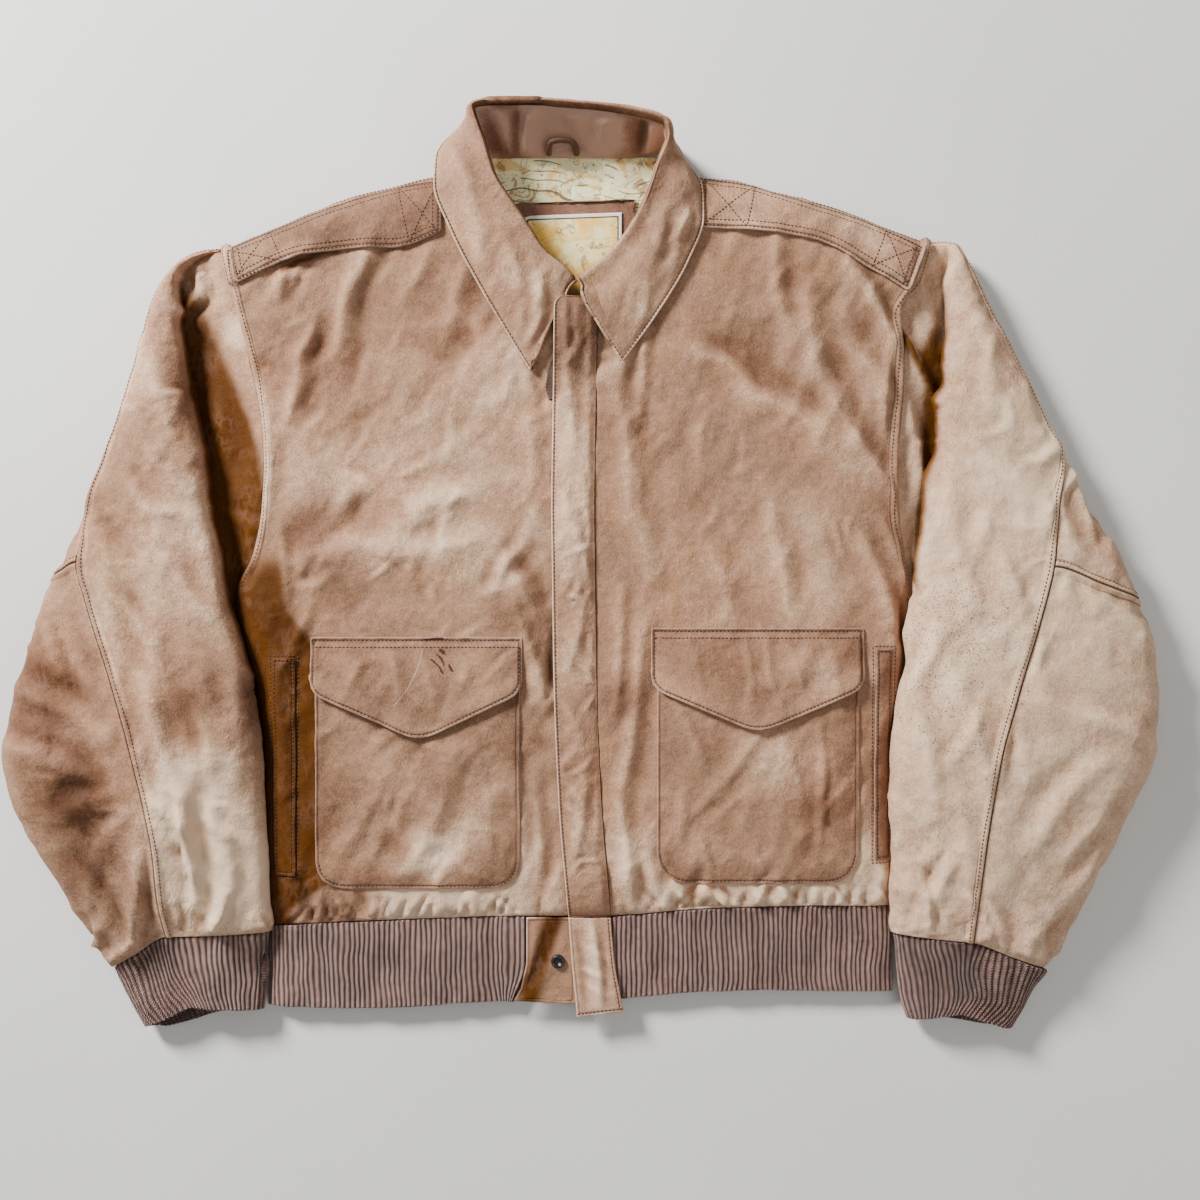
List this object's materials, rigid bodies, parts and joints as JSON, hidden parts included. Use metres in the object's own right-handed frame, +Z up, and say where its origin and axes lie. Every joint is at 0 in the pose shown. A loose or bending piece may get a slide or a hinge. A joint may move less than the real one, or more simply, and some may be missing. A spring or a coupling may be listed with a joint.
{
  "type": "worn leather jacket",
  "caption": "Worn tan leather flying jacket laid flat on its back, with a zip under a wind flap, patch pockets, epaulettes and rib knit cuffs and waistband.",
  "frame": {"origin": "middle of the jacket's outline, on the surface that it lies on", "axes": "+X towards the wearer's left sleeve, +Y towards the collar, +Z up from the surface"},
  "size_m": [0.996, 0.794, 0.064],
  "materials": {
    "leather": "matt, scuffed and rubbed pale along edges",
    "dark_leather": "satin, unfaded",
    "knit": "rib knit, slightly fuzzy",
    "lining": "printed satin lining",
    "patch": "printed cloth, aged",
    "snap_metal": "blackened, worn",
    "zip_tape": "woven tape"
  },
  "bodies": {
    "root": {"back": "leather", "front_right": "leather", "front_left": "leather", "wind_flap": "leather", "tab_right": "leather", "tab_left": "leather", "collar": "leather", "epaulette_right": "leather", "epaulette_left": "leather", "pocket_right": "leather", "pocket_left": "leather", "pocket_flap_right": "leather", "pocket_flap_left": "leather", "welt_right": "leather", "welt_left": "leather", "sleeve_right_front": "leather", "sleeve_right_back_upper": "leather", "sleeve_right_back_lower": "leather", "sleeve_left_front": "leather", "sleeve_left_back_upper": "leather", "sleeve_left_back_lower": "leather", "collar_stand": "dark_leather", "hanger_loop": "dark_leather", "neck_patch_border": "dark_leather", "waistband_back": "knit", "waistband_right": "knit", "waistband_left": "knit", "cuff_right": "knit", "cuff_left": "knit", "neck_lining": "lining", "neck_patch": "patch", "snap": "snap_metal", "zip": "zip_tape"}
  },
  "joints": []
}
